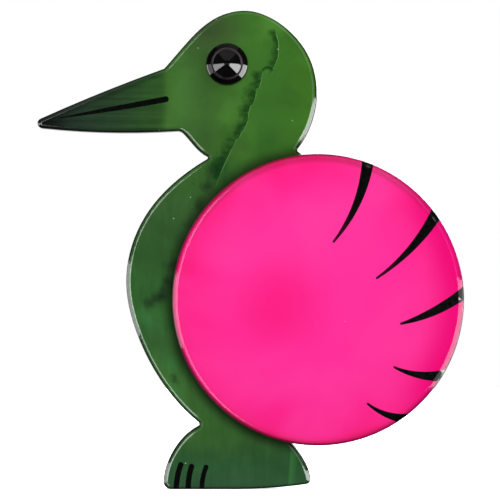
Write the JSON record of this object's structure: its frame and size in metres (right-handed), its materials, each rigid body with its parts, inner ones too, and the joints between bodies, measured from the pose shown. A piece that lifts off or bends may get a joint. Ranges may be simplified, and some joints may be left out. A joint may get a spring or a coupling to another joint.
{
  "type": "bird brooch",
  "caption": "Flat resin bird brooch with a long beak, a round disc for a wing, a black domed eye and inlaid lines, and a bar at the back with a hinged pin and a turning catch.",
  "frame": {"origin": "a point near the middle of the closed pin stem, on the stem's axis, which is what goes through the cloth", "axes": "+X along the closed stem from its hinge to its point, +Z the bird's up, and the bird's face looks along -Y"},
  "size_m": [0.071, 0.0129, 0.0799],
  "materials": {
    "green_resin": "gloss",
    "pink_resin": "gloss",
    "black_stone": "gloss",
    "black_lacquer": "gloss",
    "clear_adhesive": "gloss",
    "nickel_plate": null,
    "stem_steel": null
  },
  "bodies": {
    "bird": {"body_plate": "green_resin", "wing_disc": "pink_resin", "eye_stone": "black_stone", "beak_line": "black_lacquer", "toe_line_1": "black_lacquer", "toe_line_2": "black_lacquer", "toe_line_3": "black_lacquer", "feather_line_1": "black_lacquer", "feather_line_2": "black_lacquer", "feather_line_3": "black_lacquer", "feather_line_4": "black_lacquer", "feather_line_5": "black_lacquer", "wing_adhesive": "clear_adhesive", "eye_adhesive": "clear_adhesive", "bar_adhesive": "clear_adhesive", "pin_bar": "nickel_plate", "joint_bracket": "nickel_plate", "joint_rivet": "nickel_plate", "catch_housing": "nickel_plate"},
    "stem": {"pin_stem": "stem_steel"},
    "roller": {"catch_roller": "nickel_plate"}
  },
  "joints": [
    {"name": "pin_swing", "type": "hinge", "parent": "bird", "child": "stem", "pos_m": [-0.0146, 0, 0], "axis": [0, 0, 1], "range_deg": [0, 118]},
    {"name": "catch_turn", "type": "hinge", "parent": "bird", "child": "roller", "pos_m": [0.0133, 0, 0], "axis": [1, 0, 0], "range_deg": [0, 75]}
  ]
}
